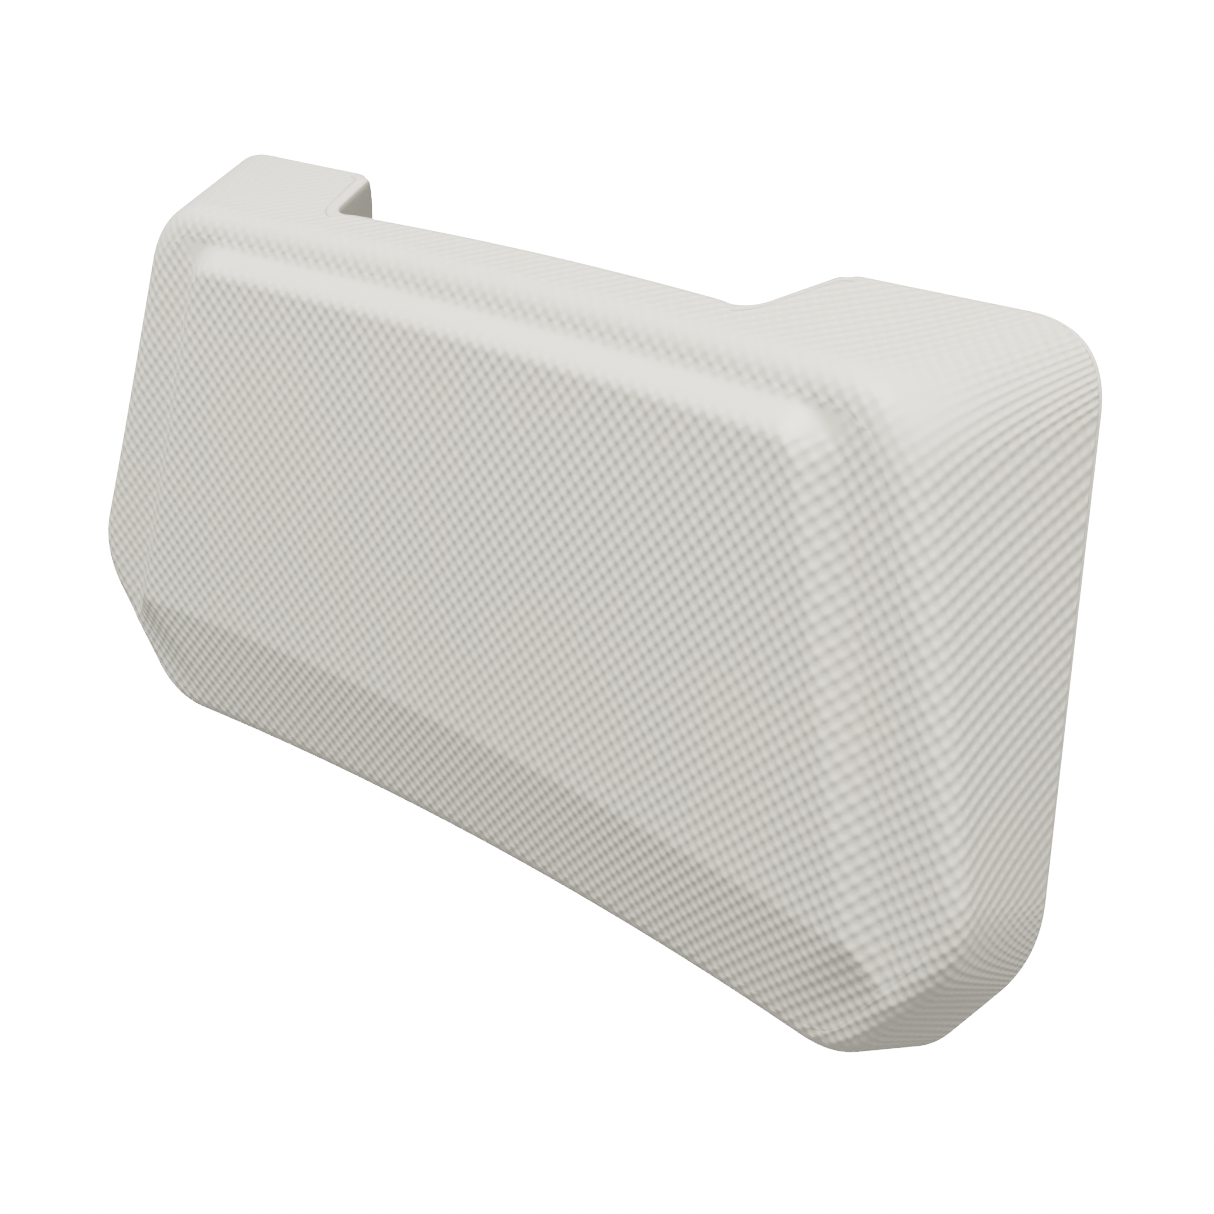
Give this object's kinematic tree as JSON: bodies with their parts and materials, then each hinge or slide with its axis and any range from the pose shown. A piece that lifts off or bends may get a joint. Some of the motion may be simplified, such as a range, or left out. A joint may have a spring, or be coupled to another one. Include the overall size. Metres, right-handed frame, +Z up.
{
  "type": "pool and spa headrest pad",
  "caption": "Wedge-shaped moulded headrest pad with a raised front panel, chamfered lower corners, a back notch and push-in wall pegs.",
  "frame": {"origin": "centre of the four-peg pattern, on the wall face, 3.5 mm behind the flat back of the pad", "axes": "+Y out of the back along the pegs, +Z up the back, +X towards the right end seen from the front"},
  "size_m": [0.4036, 0.0782, 0.23],
  "materials": {
    "skin": "ivory integral foam skin, satin, embossed weave",
    "plate": "dark grey matt moulded plastic",
    "insert": "turned brass",
    "washer": "black soft rubber",
    "peg": "natural nylon"
  },
  "bodies": {
    "root": {"moulded_body": "skin", "backing_plate": "plate", "upper_left_insert": "insert", "upper_right_insert": "insert", "lower_left_insert": "insert", "lower_right_insert": "insert", "upper_left_washer": "washer", "upper_right_washer": "washer", "lower_left_washer": "washer", "lower_right_washer": "washer", "upper_left_peg": "peg", "upper_right_peg": "peg", "lower_left_peg": "peg", "lower_right_peg": "peg"}
  },
  "joints": []
}
